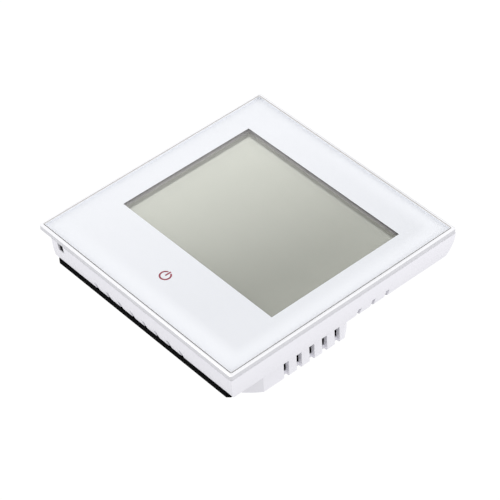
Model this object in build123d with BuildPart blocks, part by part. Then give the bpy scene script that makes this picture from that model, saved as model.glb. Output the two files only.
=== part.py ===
"""Flush wall thermostat: a glass fronted panel that snaps on a moulded housing, with a power box let into the wall.

Millimetres. The origin is the middle of the wall screw pattern on the wall plane.
+X is to the right seen from the room, +Z is up the wall, and the front faces -Y.
Heights are measured from the wall plane towards the room, so the power box lies at negative heights.
"""
import os
from math import sqrt

from build123d import *

os.makedirs("parts", exist_ok=True)

# Overall sizes
face_size = 90.0
front_height = 14.2
box_reach = 28.8
wall_screw_spacing = 60.0

# Front trim, glass and the print behind it
rim_width = 0.9
band_height = 2.0
trim_corner = 0.6
trim_edge = 0.4
seat_width = 2.6
glass_thickness = 1.1
glass_gap = 0.25
glass_drop = 0.05
glass_corner = 0.4
glass_edge = 0.2
mask_thickness = 0.15
mask_margin = 0.1

# Display window and touch key, measured from the edges of the face
window_side = 10.4
window_above = 13.8
window_below = 24.8
window_lap = 0.3
key_above_edge = 13.2

# Housing skirt: crowned draft from the trim to the rear rim
skirt_wall = 1.9
skirt_draft = 2.3
skirt_crown = 0.41
rim_edge = 0.4
floor_thickness = 1.5
panel_seam = 0.1
relief_leg = 5.9

# Air notches in the rear rim and the pry slot under the trim
notch_width = 1.4
notch_height = 3.6
notch_pitch = 5.7
notch_count = 8
side_notch_count = 3
side_notch_up = 11.9
pry_width = 2.6
pry_height = 3.1
pry_from_edge = 10.1

# Wall plate
plate_side_inset = 4.5
plate_end_inset = 2.0
plate_thickness = 2.0
plate_corner = 1.0
slot_width = 4.4
slot_length = 7.0
wall_head_hole = 9.5

# Power box: a square cut to the circle of a round wall box
box_width = 49.0
box_circle = 59.4
box_wall = 1.6
box_edge = 0.6
box_gap = 0.25
vent_width = 2.1
vent_pitch = 5.3
vent_count = 5
vent_up = 3.2
vent_length = 16.0

# Small screws: shank, head, and the hole that takes them
screw_radius = 1.1
screw_play = 0.1
screw_head_radius = 2.2
screw_head_height = 1.0
boss_radius = 2.75
boss_length = 11.0
box_screw_length = 9.0
plate_boss_size = 4.8
plate_boss_height = 1.2
plate_screw_inset = 8.5
plate_screw_length = 4.2

# Display stack behind the glass
carrier_thickness = 1.6
carrier_wall = 1.2
carrier_gap = 0.5
tray_gap = 0.3
wall_foot = 6.0
lcd_side_lap = 2.9
lcd_end_lap = 3.3
display_setback = 2.0
lcd_plate = 0.7
lcd_ledge = 3.5
pocket_gap = 0.2
guide_thickness = 1.2
film_thickness = 0.2
led_thickness = 0.9
led_width = 3.0
led_count = 3
led_pitch = 15.0
zebra_width = 2.0
board_thickness = 1.6
board_gap = 0.5
display_boss_size = 3.8
display_top_side = 14.0
display_low_side_inset = 15.0
display_low_inset = 11.0
display_screw_radius = 0.9
display_head_radius = 1.7
display_screw_length = 5.0
touch_pad_size = 6.0
chip_size = 7.0
chip_height = 1.2
chip_side = 17.0
chip_lead_count = 6
chip_lead_pitch = 1.0
sensor_side = 22.0
sensor_inset = 10.0
sensor_radius = 1.3
sensor_stand = 2.0
lead_size = 0.5
lead_pitch = 1.6

# Snap hooks between the panel and the housing
hook_width = 8.0
hook_inset = 19.0
hook_barb = 1.0
hook_gap = 0.3
hook_tip = 5.2
barb_height = 1.6
ledge_height = 1.2
ledge_play = 0.1

# Plug between the display board and the power board
header_place = (0.0, 17.0)
header_columns = 4
header_rows = 2
pin_pitch = 2.54
pin_size = 0.64
pin_play = 0.03
socket_play = 0.12
socket_height = 8.5
socket_margin = 2.54
header_base_height = 2.5
pin_engagement = 5.0
pin_tail = 1.0

# Power board and what stands on it
power_board_depth = 15.4
power_post_radius = 2.2
power_post_side = 12.0
power_post_inset = 4.9
rest_post_size = 3.2
rest_post_inset = 4.2
rest_post_down = 9.0
power_screw_length = 6.0
sheet_thickness = 0.4
sheet_gap = 0.3
relay_size = (19.0, 15.4, 15.0)
relay_place = (-9.5, 5.0)
core_width = 15.0
core_depth = 5.0
core_height = 13.0
core_yoke = 2.4
core_leg = 4.2
coil_play = 0.15
coil_depth = 11.6
transformer_place = (11.0, 5.0)
can_radius = 4.0
can_height = 12.5
can_place = (-13.0, -8.6)
film_cap_size = (13.0, 6.0, 11.0)
film_cap_place = (1.0, -8.2)
varistor_radius = 4.6
varistor_thickness = 3.8
varistor_place = (14.2, -9.0)
fuse_radius = 1.8
fuse_length = 9.0
fuse_place = (0.0, -17.4)
part_round = 0.6

# Terminal block with rising clamps, on the rear of the power board
pole_count = 6
pole_pitch = 6.4
block_side = 0.5
block_depth = 10.5
block_height = 11.3
block_down = 16.65
block_gap = 0.3
pole_floor = 0.6
clamp_width = 4.8
clamp_length = 4.6
clamp_height = 5.6
clamp_wall = 0.8
clamp_top = 1.0
clamp_play = 0.15
clamp_travel = 2.0
terminal_screw_radius = 1.5
terminal_screw_play = 0.05
terminal_head_radius = 2.5
terminal_head_height = 1.6
terminal_slot_width = 0.6
terminal_slot_depth = 0.8
head_well_play = 0.25
pole_ledge = 0.6
ledge_hole_play = 0.2
bar_width = 2.6
bar_thickness = 0.8
bar_play = 0.2
bar_clear = 0.2
wire_way_width = 3.4
wire_way_height = 2.4

# Values that follow from the sizes above
half_face = face_size / 2
window_width = face_size - 2 * window_side
window_height = face_size - window_above - window_below
window_up = (window_below - window_above) / 2
key_down = half_face - key_above_edge
pry_from_middle = half_face - pry_from_edge
plate_width = face_size - 2 * plate_side_inset
plate_height = face_size - 2 * plate_end_inset
plate_screw_place = half_face - plate_screw_inset
hook_side = half_face - hook_inset
rim_height = plate_thickness
floor_top = rim_height + floor_thickness
seat_height = front_height - band_height
housing_top = seat_height - panel_seam
glass_half = half_face - rim_width - glass_gap
glass_back = front_height - glass_drop - glass_thickness
mask_back = glass_back - mask_thickness
flange_half = half_face - rim_width - seat_width
carrier_half = half_face - skirt_wall - carrier_gap
carrier_inset = skirt_wall + carrier_gap
carrier_back = mask_back - carrier_thickness
wall_half = half_face - skirt_wall - skirt_draft - tray_gap
lcd_width = window_width + 2 * lcd_side_lap
lcd_height = window_height + 2 * lcd_end_lap
lcd_front = carrier_back - display_setback
lcd_mid = lcd_front - lcd_plate
lcd_back = lcd_mid - lcd_plate
guide_back = lcd_back - guide_thickness
board_front = guide_back - film_thickness
board_back = board_front - board_thickness
board_half = wall_half - carrier_wall - board_gap
pole_columns = [(i - (pole_count - 1) / 2) * pole_pitch for i in range(pole_count)]
pocket_top = window_up + lcd_height / 2 + pocket_gap + carrier_wall
pocket_bottom = window_up - lcd_height / 2 - pocket_gap - carrier_wall
display_top = (pocket_top + wall_half - carrier_wall) / 2
top_places = [(side * display_top_side, display_top) for side in (1, -1)]
low_places = [
    (side * (half_face - display_low_side_inset), display_low_inset - half_face) for side in (1, -1)
]
board_places = top_places + low_places
chip_place = (-chip_side, (pocket_bottom - board_half) / 2)
sensor_place = (sensor_side, sensor_inset - half_face)
hook_places = [(sx * hook_side, sz) for sx in (1, -1) for sz in (1, -1)]
box_half = box_width / 2
post_places = [(side * power_post_side, box_half - power_post_inset) for side in (1, -1)]
rest_places = [(side * (box_half - rest_post_inset), -rest_post_down) for side in (1, -1)]
box_floor = box_wall - box_reach
box_screw = (box_circle / 2 - box_wall - boss_radius + 0.15 * boss_radius) / sqrt(2)
box_places = [(side * box_screw, side * box_screw) for side in (1, -1)]
power_front = -power_board_depth
power_back = power_front - board_thickness
hole_radius = screw_radius + screw_play
display_hole_radius = display_screw_radius + screw_play


def level(height):
    """Sketch plane parallel to the wall, at a height above it and facing the room."""
    return Plane.XZ.offset(height)


def relieved_square(half, inset):
    """Square plan whose pry corner is cut along a line set in from the housing's own corner cut."""
    leg = 2 * half - 2 * half_face + relief_leg + inset * sqrt(2)
    with BuildSketch() as plan:
        Rectangle(2 * half, 2 * half)
        if leg > 0:
            with Locations((-half, -half)):
                Rectangle(leg * sqrt(2), leg * sqrt(2), rotation=45, mode=Mode.SUBTRACT)
    return plan.sketch


def box_outline(grow):
    """Power box plan: a square whose corners follow the circle of a round wall box."""
    with BuildSketch() as plan:
        Rectangle(box_width + 2 * grow, box_width + 2 * grow)
        Circle(box_circle / 2 + grow, mode=Mode.INTERSECT)
    return plan.sketch


def crowned_block(half, inset):
    """Block from the rear rim to the trim, with crowned drafted sides and the pry corner cut off."""
    rear_half = half - skirt_draft
    mid_half = half - skirt_draft / 2 + skirt_crown
    mid_height = (rim_height + housing_top) / 2
    with BuildPart() as block:
        for turn, mode in ((0, Mode.ADD), (90, Mode.INTERSECT)):
            with BuildSketch(Plane.XY.rotated((0, turn, 0))):
                with BuildLine():
                    Line((-half, -housing_top), (half, -housing_top))
                    ThreePointArc(
                        (half, -housing_top), (mid_half, -mid_height), (rear_half, -rim_height)
                    )
                    Line((rear_half, -rim_height), (-rear_half, -rim_height))
                    ThreePointArc(
                        (-rear_half, -rim_height), (-mid_half, -mid_height), (-half, -housing_top)
                    )
                make_face()
            extrude(amount=half, both=True, mode=mode)
        with BuildSketch(level(rim_height)):
            add(relieved_square(half, inset))
        extrude(amount=housing_top - rim_height, mode=Mode.INTERSECT)
    return block.part


def finish(piece, name):
    """Label a finished piece and write its file."""
    piece.part.label = name
    export_step(piece.part, f"parts/{name}.step")


# Wall plate: black plate screwed to the wall box, its lower edge showing below the housing
with BuildPart() as wall_plate:
    with BuildSketch(level(0)) as plate_plan:
        Rectangle(plate_width, plate_height)
        chamfer(plate_plan.vertices(), plate_corner)
        add(box_outline(box_gap), mode=Mode.SUBTRACT)
        with GridLocations(wall_screw_spacing, 0, 2, 1):
            SlotOverall(slot_length, slot_width, mode=Mode.SUBTRACT)
        with GridLocations(0, 2 * plate_screw_place, 1, 2):
            Circle(hole_radius, mode=Mode.SUBTRACT)
    extrude(amount=plate_thickness)
    rear_rings = wall_plate.faces().sort_by(Axis.Y)[-1].edges().filter_by(GeomType.CIRCLE)
    sink_rings = rear_rings.filter_by(lambda ring: abs(ring.radius - hole_radius) < screw_play / 2)
    chamfer(sink_rings, screw_head_radius - screw_radius)
finish(wall_plate, "wall_plate")

with BuildPart() as plate_screws:
    with BuildSketch(level(0)):
        with GridLocations(0, 2 * plate_screw_place, 1, 2):
            Circle(screw_radius)
    extrude(amount=plate_screw_length)
    with BuildSketch(level(0)):
        with GridLocations(0, 2 * plate_screw_place, 1, 2):
            Circle(screw_head_radius)
    extrude(amount=screw_head_radius - screw_radius, taper=45)
finish(plate_screws, "plate_screws")

# Housing: crowned skirt and floor in one moulding, open towards the panel
with BuildPart() as tray_space:
    add(crowned_block(half_face - skirt_wall, skirt_wall))
    split(bisect_by=level(floor_top), keep=Keep.TOP)

with BuildPart() as housing:
    add(crowned_block(half_face, 0))
    chamfer(housing.faces().sort_by(Axis.Y)[-1].edges(), rim_edge)
    add(tray_space.part, mode=Mode.SUBTRACT)
    # Bosses for the plate screws and ledges for the snap hooks
    with BuildSketch(level(floor_top)):
        with GridLocations(0, 2 * plate_screw_place, 1, 2):
            Rectangle(plate_boss_size, plate_boss_size)
    extrude(amount=plate_boss_height)
    ledge_inner = wall_half + hook_gap
    ledge_outer = half_face - skirt_draft / 2
    with BuildSketch(level(hook_tip + barb_height + ledge_play)):
        for side, end in hook_places:
            with Locations((side, end * (ledge_inner + ledge_outer) / 2)):
                Rectangle(hook_width, ledge_outer - ledge_inner)
    extrude(amount=ledge_height)
    # Holes through the floor: plug, wall screws, plate screws and box screws
    with BuildSketch(level(rim_height)):
        with Locations(header_place):
            Rectangle(
                header_columns * pin_pitch + 2 * socket_margin, header_rows * pin_pitch + 2 * socket_margin
            )
        with GridLocations(wall_screw_spacing, 0, 2, 1):
            Rectangle(wall_head_hole, wall_head_hole)
    extrude(amount=floor_thickness, mode=Mode.SUBTRACT)
    with BuildSketch(level(rim_height)):
        with GridLocations(0, 2 * plate_screw_place, 1, 2):
            Circle(hole_radius)
        with Locations(box_places):
            Circle(hole_radius)
    extrude(amount=floor_thickness + plate_boss_height, mode=Mode.SUBTRACT)
    with BuildSketch(level(floor_top)):
        with Locations(box_places):
            Circle(screw_head_radius + screw_play)
    extrude(amount=-(screw_head_radius - screw_radius), taper=45, mode=Mode.SUBTRACT)
    # Air notches: a row in the lower and upper rims and a short row in the right rim
    for end in (1, -1):
        with BuildSketch(Plane.XY.offset(end * half_face)):
            with Locations((0, -rim_height - notch_height / 2)):
                with GridLocations(notch_pitch, 0, notch_count, 1):
                    Rectangle(notch_width, notch_height)
        extrude(amount=-end * (skirt_draft + skirt_wall), mode=Mode.SUBTRACT)
    with BuildSketch(Plane.YZ.offset(half_face)):
        with Locations((-rim_height - notch_height / 2, side_notch_up)):
            with GridLocations(0, notch_pitch, 1, side_notch_count):
                Rectangle(notch_height, notch_width)
    extrude(amount=-(skirt_draft + skirt_wall), mode=Mode.SUBTRACT)
    # Pry slot in the lower wall, open under the trim
    with BuildSketch(Plane.XY.offset(-half_face)):
        with Locations((-pry_from_middle, -housing_top + pry_height / 2)):
            Rectangle(pry_width, pry_height)
    extrude(amount=2 * skirt_wall, mode=Mode.SUBTRACT)
finish(housing, "housing")

# Power box: open to the front, vented sides, cut away at the lower rear for the terminals
block_half = pole_count * pole_pitch / 2 + block_side
block_top = block_depth / 2 - block_down
opening_top = block_top + block_gap
opening_bottom = -box_half - block_gap

with BuildPart() as power_box:
    with BuildSketch(level(-box_reach)):
        add(box_outline(0))
    extrude(amount=box_reach + rim_height)
    chamfer(power_box.faces().sort_by(Axis.Y)[-1].edges(), box_edge)
    with BuildSketch(level(box_floor)):
        add(box_outline(-box_wall))
    extrude(amount=rim_height - box_floor, mode=Mode.SUBTRACT)
    with BuildSketch(level(rim_height)):
        with Locations(box_places):
            Circle(boss_radius)
        add(box_outline(-box_wall / 2), mode=Mode.INTERSECT)
    extrude(amount=-boss_length)
    with BuildSketch(level(rim_height)):
        with Locations(box_places):
            Circle(hole_radius)
    extrude(amount=-(box_screw_length + screw_play), mode=Mode.SUBTRACT)
    # Posts that carry the power board
    with BuildSketch(level(box_floor)):
        with Locations(post_places):
            Circle(power_post_radius)
        with Locations(rest_places):
            Rectangle(rest_post_size, rest_post_size)
    extrude(amount=power_back - box_floor)
    with BuildSketch(level(power_back)):
        with Locations(post_places):
            Circle(hole_radius)
    extrude(amount=-power_screw_length, mode=Mode.SUBTRACT)
    # Vent slots, open at the rear edge
    for side in (1, -1):
        with BuildSketch(Plane.YZ.offset(side * box_half)):
            with Locations((box_reach - vent_length / 2, vent_up)):
                with GridLocations(0, vent_pitch, 1, vent_count):
                    Rectangle(vent_length, vent_width)
        extrude(amount=-side * box_wall, mode=Mode.SUBTRACT)
    # Way in for the wires
    with BuildSketch(level(-box_reach)):
        with Locations((0, (opening_top + opening_bottom) / 2)):
            Rectangle(2 * (block_half + block_gap), opening_top - opening_bottom)
    extrude(amount=box_reach + power_back, mode=Mode.SUBTRACT)
finish(power_box, "power_box")

# Insulating sheet on the floor of the box, behind the soldered side of the power board
post_window = 2 * (power_post_radius + sheet_gap)

with BuildPart() as insulating_sheet:
    with BuildSketch(level(box_floor)):
        add(box_outline(-box_wall - sheet_gap))
        with Locations(post_places):
            Rectangle(post_window, post_window, mode=Mode.SUBTRACT)
        with Locations(rest_places):
            Rectangle(rest_post_size + 2 * sheet_gap, rest_post_size + 2 * sheet_gap, mode=Mode.SUBTRACT)
        with Locations((0, opening_top + sheet_gap)):
            Rectangle(box_width, box_width, align=(Align.CENTER, Align.MAX), mode=Mode.SUBTRACT)
    extrude(amount=sheet_thickness)
finish(insulating_sheet, "insulating_sheet")

with BuildPart() as box_screws:
    with BuildSketch(level(floor_top)):
        with Locations(box_places):
            Circle(screw_radius)
    extrude(amount=-(box_screw_length + floor_thickness))
    with BuildSketch(level(floor_top)):
        with Locations(box_places):
            Circle(screw_head_radius)
    extrude(amount=-(screw_head_radius - screw_radius), taper=45)
finish(box_screws, "box_screws")

# Terminal heights, counted from the rear face of the power board away from the room
clamp_low = pole_floor + clamp_play
clamp_high = clamp_low + clamp_height + clamp_travel
pole_roof = clamp_high + clamp_play
well_floor = pole_roof + pole_ledge
bar_low = clamp_low + clamp_wall + clamp_travel + bar_clear
bar_high = bar_low + bar_thickness
space_width = clamp_width + 2 * clamp_play
space_length = clamp_length + 2 * clamp_play
bar_leg_up = space_length / 2 + bar_play + bar_thickness / 2
bar_tail = board_thickness + pin_tail


def below_board(distance):
    """Sketch plane behind the power board, facing the rear."""
    return Plane.XZ.offset(power_back - distance)


# Power board, notched round the box's screw bosses
boss_notch = 2 * (boss_radius + board_gap)

with BuildPart() as power_board:
    with BuildSketch(level(power_back)):
        add(box_outline(-box_wall - board_gap))
        with Locations(box_places):
            Rectangle(boss_notch, boss_notch, rotation=45, mode=Mode.SUBTRACT)
        with Locations(post_places):
            Circle(hole_radius, mode=Mode.SUBTRACT)
        with Locations(header_place):
            with GridLocations(pin_pitch, pin_pitch, header_columns, header_rows):
                Rectangle(pin_size + 2 * pin_play, pin_size + 2 * pin_play, mode=Mode.SUBTRACT)
        with Locations([(x, bar_leg_up - block_down) for x in pole_columns]):
            Rectangle(bar_width + 2 * bar_play, bar_thickness + 2 * bar_play, mode=Mode.SUBTRACT)
    extrude(amount=board_thickness)
finish(power_board, "power_board")

with BuildPart() as power_screws:
    with BuildSketch(level(power_front)):
        with Locations(post_places):
            Circle(screw_radius)
    extrude(amount=-(board_thickness + power_screw_length - screw_play))
    with BuildSketch(level(power_front)):
        with Locations(post_places):
            Circle(screw_head_radius)
    extrude(amount=screw_head_height)
finish(power_screws, "power_screws")

# Terminal block: one well, one clamp space and one wire way for each pole
ledge_hole = 2 * (terminal_screw_radius + ledge_hole_play)

with BuildPart() as terminal_block:
    with BuildSketch(below_board(0)):
        with Locations((0, -block_down)):
            Rectangle(2 * block_half, block_depth)
    extrude(amount=-block_height)
    chamfer(terminal_block.faces().sort_by(Axis.Y)[-1].edges(), block_side)
    with BuildSketch(below_board(pole_floor)):
        with Locations([(x, -block_down) for x in pole_columns]):
            Rectangle(space_width, space_length)
    extrude(amount=-(pole_roof - pole_floor), mode=Mode.SUBTRACT)
    with BuildSketch(below_board(pole_roof)):
        with Locations([(x, -block_down) for x in pole_columns]):
            Rectangle(ledge_hole, ledge_hole)
    extrude(amount=-pole_ledge, mode=Mode.SUBTRACT)
    with BuildSketch(below_board(well_floor)):
        with Locations([(x, -block_down) for x in pole_columns]):
            Circle(terminal_head_radius + head_well_play)
    extrude(amount=-(block_height - well_floor), mode=Mode.SUBTRACT)
    with BuildSketch(Plane.XY.offset(-block_down - block_depth / 2)):
        wire_way_mid = clamp_low + clamp_wall + wire_way_height / 2 - power_back
        with Locations([(x, wire_way_mid) for x in pole_columns]):
            Rectangle(wire_way_width, wire_way_height)
    extrude(amount=block_depth / 2, mode=Mode.SUBTRACT)
    with BuildSketch(below_board(0)):
        with Locations([(x, -block_down + bar_leg_up) for x in pole_columns]):
            Rectangle(bar_width + 2 * bar_play, bar_thickness + 2 * bar_play)
    extrude(amount=-(bar_high + bar_play), mode=Mode.SUBTRACT)
finish(terminal_block, "terminal_block")

with BuildPart() as terminal_bars:
    with BuildSketch(below_board(bar_low)):
        bar_start = -clamp_length / 2
        bar_end = bar_leg_up + bar_thickness / 2
        with Locations([(x, -block_down + (bar_start + bar_end) / 2) for x in pole_columns]):
            Rectangle(bar_width, bar_end - bar_start)
    extrude(amount=-bar_thickness)
    with BuildSketch(below_board(-bar_tail)):
        with Locations([(x, -block_down + bar_leg_up) for x in pole_columns]):
            Rectangle(bar_width, bar_thickness)
    extrude(amount=-(bar_tail + bar_high))
finish(terminal_bars, "terminal_bars")


def make_terminal_screw(x):
    """Slotted terminal screw whose point stops just above the bar."""
    head_low = well_floor + screw_play
    point = bar_high + screw_play
    with BuildPart() as screw:
        with BuildSketch(below_board(point)):
            with Locations((x, -block_down)):
                Circle(terminal_screw_radius)
        extrude(amount=-(head_low - point))
        with BuildSketch(below_board(head_low)):
            with Locations((x, -block_down)):
                Circle(terminal_head_radius)
        extrude(amount=-terminal_head_height)
        with BuildSketch(below_board(head_low + terminal_head_height)):
            with Locations((x, -block_down)):
                Rectangle(2 * terminal_head_radius, terminal_slot_width)
        extrude(amount=terminal_slot_depth, mode=Mode.SUBTRACT)
    return screw


def make_wire_clamp(x):
    """Rising clamp: a cage round the bar, open along Z, with the screw through its top."""
    with BuildPart() as clamp:
        with BuildSketch(below_board(clamp_low)):
            with Locations((x, -block_down)):
                Rectangle(clamp_width, clamp_length)
        extrude(amount=-clamp_height)
        with BuildSketch(below_board(clamp_low + clamp_wall)):
            with Locations((x, -block_down)):
                Rectangle(clamp_width - 2 * clamp_wall, clamp_length)
        extrude(amount=-(clamp_height - clamp_wall - clamp_top), mode=Mode.SUBTRACT)
        with BuildSketch(below_board(clamp_low + clamp_height - clamp_top)):
            with Locations((x, -block_down)):
                Circle(terminal_screw_radius + terminal_screw_play)
        extrude(amount=-clamp_top, mode=Mode.SUBTRACT)
    return clamp


for number, column in enumerate(pole_columns, start=1):
    finish(make_terminal_screw(column), f"terminal_screw_{number}")
    finish(make_wire_clamp(column), f"wire_clamp_{number}")

# Relay
with BuildPart() as relay:
    with BuildSketch(level(power_front)):
        with Locations(relay_place):
            Rectangle(relay_size[0], relay_size[1])
    extrude(amount=relay_size[2])
    chamfer(relay.edges().filter_by(Axis.Y), part_round)
    chamfer(relay.faces().sort_by(Axis.Y)[0].edges(), part_round / 2)
finish(relay, "relay")

# Transformer: ferrite core with two windows, and the taped coil round its middle leg
window_leg = (core_width - core_leg) / 2 - core_yoke
coil_width = core_leg + 2 * window_leg - 2 * coil_play
coil_height = core_height - 2 * core_yoke - 2 * coil_play

with BuildPart() as transformer_core:
    with BuildSketch(Plane.XY.offset(transformer_place[1])):
        with Locations((transformer_place[0], -power_front - core_height / 2)):
            Rectangle(core_width, core_height)
            with GridLocations(core_leg + window_leg, 0, 2, 1):
                Rectangle(window_leg, core_height - 2 * core_yoke, mode=Mode.SUBTRACT)
    extrude(amount=core_depth / 2, both=True)
finish(transformer_core, "transformer_core")

with BuildPart() as transformer_coil:
    with BuildSketch(level(power_front + core_yoke + coil_play)):
        with Locations(transformer_place):
            Rectangle(coil_width, coil_depth)
            Rectangle(core_leg + 2 * coil_play, core_depth + 2 * coil_play, mode=Mode.SUBTRACT)
    extrude(amount=coil_height)
finish(transformer_coil, "transformer_coil")

# Smoothing capacitor
with BuildPart() as smoothing_capacitor:
    with BuildSketch(level(power_front)):
        with Locations(can_place):
            Circle(can_radius)
    extrude(amount=can_height)
    chamfer(smoothing_capacitor.faces().sort_by(Axis.Y)[0].edges(), part_round / 2)
finish(smoothing_capacitor, "smoothing_capacitor")

with BuildPart() as film_capacitor:
    with BuildSketch(level(power_front)):
        with Locations(film_cap_place):
            Rectangle(film_cap_size[0], film_cap_size[1])
    extrude(amount=film_cap_size[2])
    chamfer(film_capacitor.edges().filter_by(Axis.Y), part_round)
finish(film_capacitor, "film_capacitor")

# Varistor: dipped disc standing on its edge
with BuildPart() as varistor:
    with BuildSketch(Plane.XY.offset(varistor_place[1])):
        with Locations((varistor_place[0], -power_front - varistor_radius)):
            Circle(varistor_radius)
    extrude(amount=varistor_thickness / 2, both=True)
    chamfer(varistor.edges().filter_by(GeomType.CIRCLE), part_round)
finish(varistor, "varistor")

# Fuse: cylinder lying on the board between two end caps
with BuildPart() as fuse:
    with BuildSketch(Plane.YZ.offset(fuse_place[0])):
        with Locations((-power_front - fuse_radius, fuse_place[1])):
            Circle(fuse_radius * 0.9)
    extrude(amount=fuse_length / 2, both=True)
    for side in (1, -1):
        with BuildSketch(Plane.YZ.offset(fuse_place[0] + side * fuse_length / 2)):
            with Locations((-power_front - fuse_radius, fuse_place[1])):
                Circle(fuse_radius)
        extrude(amount=-side * fuse_radius)
finish(fuse, "fuse")

# Plug: pins on the power board, socket on the display board
socket_low = board_back - socket_height
pin_top = socket_low + pin_engagement

with BuildPart() as header_base:
    with BuildSketch(level(power_front)):
        with Locations(header_place):
            Rectangle(header_columns * pin_pitch, header_rows * pin_pitch)
            with GridLocations(pin_pitch, pin_pitch, header_columns, header_rows):
                Rectangle(pin_size + 2 * pin_play, pin_size + 2 * pin_play, mode=Mode.SUBTRACT)
    extrude(amount=header_base_height)
finish(header_base, "header_base")

with BuildPart() as header_pins:
    with BuildSketch(level(power_back - pin_tail)):
        with Locations(header_place):
            with GridLocations(pin_pitch, pin_pitch, header_columns, header_rows):
                Rectangle(pin_size, pin_size)
    extrude(amount=pin_top - power_back + pin_tail)
finish(header_pins, "header_pins")

with BuildPart() as header_socket:
    with BuildSketch(level(socket_low)):
        with Locations(header_place):
            Rectangle(header_columns * pin_pitch, header_rows * pin_pitch)
    extrude(amount=socket_height)
    with BuildSketch(level(socket_low)):
        with Locations(header_place):
            with GridLocations(pin_pitch, pin_pitch, header_columns, header_rows):
                Rectangle(pin_size + 2 * socket_play, pin_size + 2 * socket_play)
    extrude(amount=pin_engagement + pin_tail, mode=Mode.SUBTRACT)
finish(header_socket, "header_socket")

# Front trim: narrow rim round the glass, side band, and a flange that the glass is bonded to
with BuildPart() as front_frame:
    with BuildSketch(level(seat_height)):
        RectangleRounded(face_size, face_size, trim_corner)
        Rectangle(2 * flange_half, 2 * flange_half, mode=Mode.SUBTRACT)
    extrude(amount=band_height)
    with BuildSketch(level(mask_back)):
        RectangleRounded(2 * (glass_half + glass_gap), 2 * (glass_half + glass_gap), glass_corner)
    extrude(amount=front_height - mask_back, mode=Mode.SUBTRACT)
    chamfer(front_frame.faces().sort_by(Axis.Y)[0].outer_wire().edges(), trim_edge)
finish(front_frame, "front_frame")

# Glass with ground edges
with BuildPart() as front_glass:
    with BuildSketch(level(glass_back)):
        RectangleRounded(2 * glass_half, 2 * glass_half, glass_corner)
    extrude(amount=glass_thickness)
    chamfer(front_glass.faces().sort_by(Axis.Y)[0].edges(), glass_edge)
finish(front_glass, "front_glass")

# White print on the back of the glass, with the display window left clear
with BuildPart() as glass_mask:
    with BuildSketch(level(mask_back)):
        Rectangle(2 * (glass_half - mask_margin), 2 * (glass_half - mask_margin))
        with Locations((0, window_up)):
            Rectangle(window_width, window_height, mode=Mode.SUBTRACT)
    extrude(amount=mask_thickness)
finish(glass_mask, "glass_mask")

# Carrier: plate behind the glass with a window, a wall round it and a pocket for the display
pocket_width = lcd_width + 2 * pocket_gap
pocket_height = lcd_height + 2 * pocket_gap

with BuildPart() as panel_carrier:
    with BuildSketch(level(carrier_back)):
        add(relieved_square(carrier_half, carrier_inset))
    extrude(amount=seat_height - carrier_back)
    with BuildSketch(level(seat_height)):
        Rectangle(2 * (flange_half - tray_gap), 2 * (flange_half - tray_gap))
    extrude(amount=mask_back - seat_height)
    with BuildSketch(level(wall_foot)):
        add(relieved_square(wall_half, carrier_inset))
        add(relieved_square(wall_half - carrier_wall, carrier_inset + carrier_wall), mode=Mode.SUBTRACT)
        for side, end in hook_places:
            with Locations((side, end * wall_half)):
                Rectangle(hook_width + 2 * hook_gap, 4 * carrier_wall, mode=Mode.SUBTRACT)
        with Locations((-pry_from_middle, -wall_half)):
            Rectangle(pry_width, 4 * carrier_wall, mode=Mode.SUBTRACT)
    extrude(amount=carrier_back - wall_foot)
    with BuildSketch(level(board_front)):
        with Locations((0, window_up)):
            Rectangle(pocket_width + 2 * carrier_wall, pocket_height + 2 * carrier_wall)
            Rectangle(pocket_width, pocket_height, mode=Mode.SUBTRACT)
    extrude(amount=carrier_back - board_front)
    with BuildSketch(level(lcd_front)):
        with Locations((0, window_up)):
            Rectangle(pocket_width, pocket_height)
    extrude(amount=display_setback)
    with BuildSketch(level(board_front)):
        with Locations(board_places):
            Rectangle(display_boss_size, display_boss_size)
    extrude(amount=carrier_back - board_front)
    with BuildSketch(level(board_front)):
        with Locations(board_places):
            Circle(display_hole_radius)
    extrude(amount=display_screw_length - board_thickness + screw_play, mode=Mode.SUBTRACT)
    with BuildSketch(level(lcd_front)):
        with Locations((0, window_up)):
            Rectangle(window_width + 2 * window_lap, window_height + 2 * window_lap)
        with Locations((0, -key_down)):
            Rectangle(touch_pad_size + 2 * window_lap, touch_pad_size + 2 * window_lap)
    extrude(amount=mask_back - lcd_front, mode=Mode.SUBTRACT)
finish(panel_carrier, "panel_carrier")

# Snap hooks: tongues in the gaps of the carrier's wall, with a ramped barb behind the housing's ledge
with BuildPart() as snap_hooks:
    for side, end in hook_places:
        with BuildSketch(Plane.YZ.offset(side)):
            with BuildLine():
                Polyline(
                    (-carrier_back, end * (wall_half - carrier_wall)),
                    (-carrier_back, end * wall_half),
                    (-hook_tip - barb_height, end * wall_half),
                    (-hook_tip - barb_height, end * (wall_half + hook_barb)),
                    (-hook_tip - barb_height / 2, end * (wall_half + hook_barb)),
                    (-hook_tip, end * (wall_half + hook_gap / 2)),
                    (-hook_tip, end * (wall_half - carrier_wall)),
                    close=True,
                )
            make_face()
        extrude(amount=hook_width / 2, both=True)
finish(snap_hooks, "snap_hooks")

# Display: two glass plates, the front one with a contact ledge along its lower edge
lcd_bottom = window_up - lcd_height / 2
guide_height = lcd_height - lcd_ledge - 2 * pocket_gap
guide_up = window_up + lcd_ledge / 2
guide_width = lcd_width - 2 * (led_thickness + pocket_gap)

with BuildPart() as lcd_panel:
    with BuildSketch(level(lcd_mid)):
        with Locations((0, window_up)):
            Rectangle(lcd_width, lcd_height)
    extrude(amount=lcd_plate)
    with BuildSketch(level(lcd_back)):
        with Locations((0, guide_up)):
            Rectangle(lcd_width, lcd_height - lcd_ledge)
    extrude(amount=lcd_plate)
finish(lcd_panel, "lcd_panel")

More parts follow.
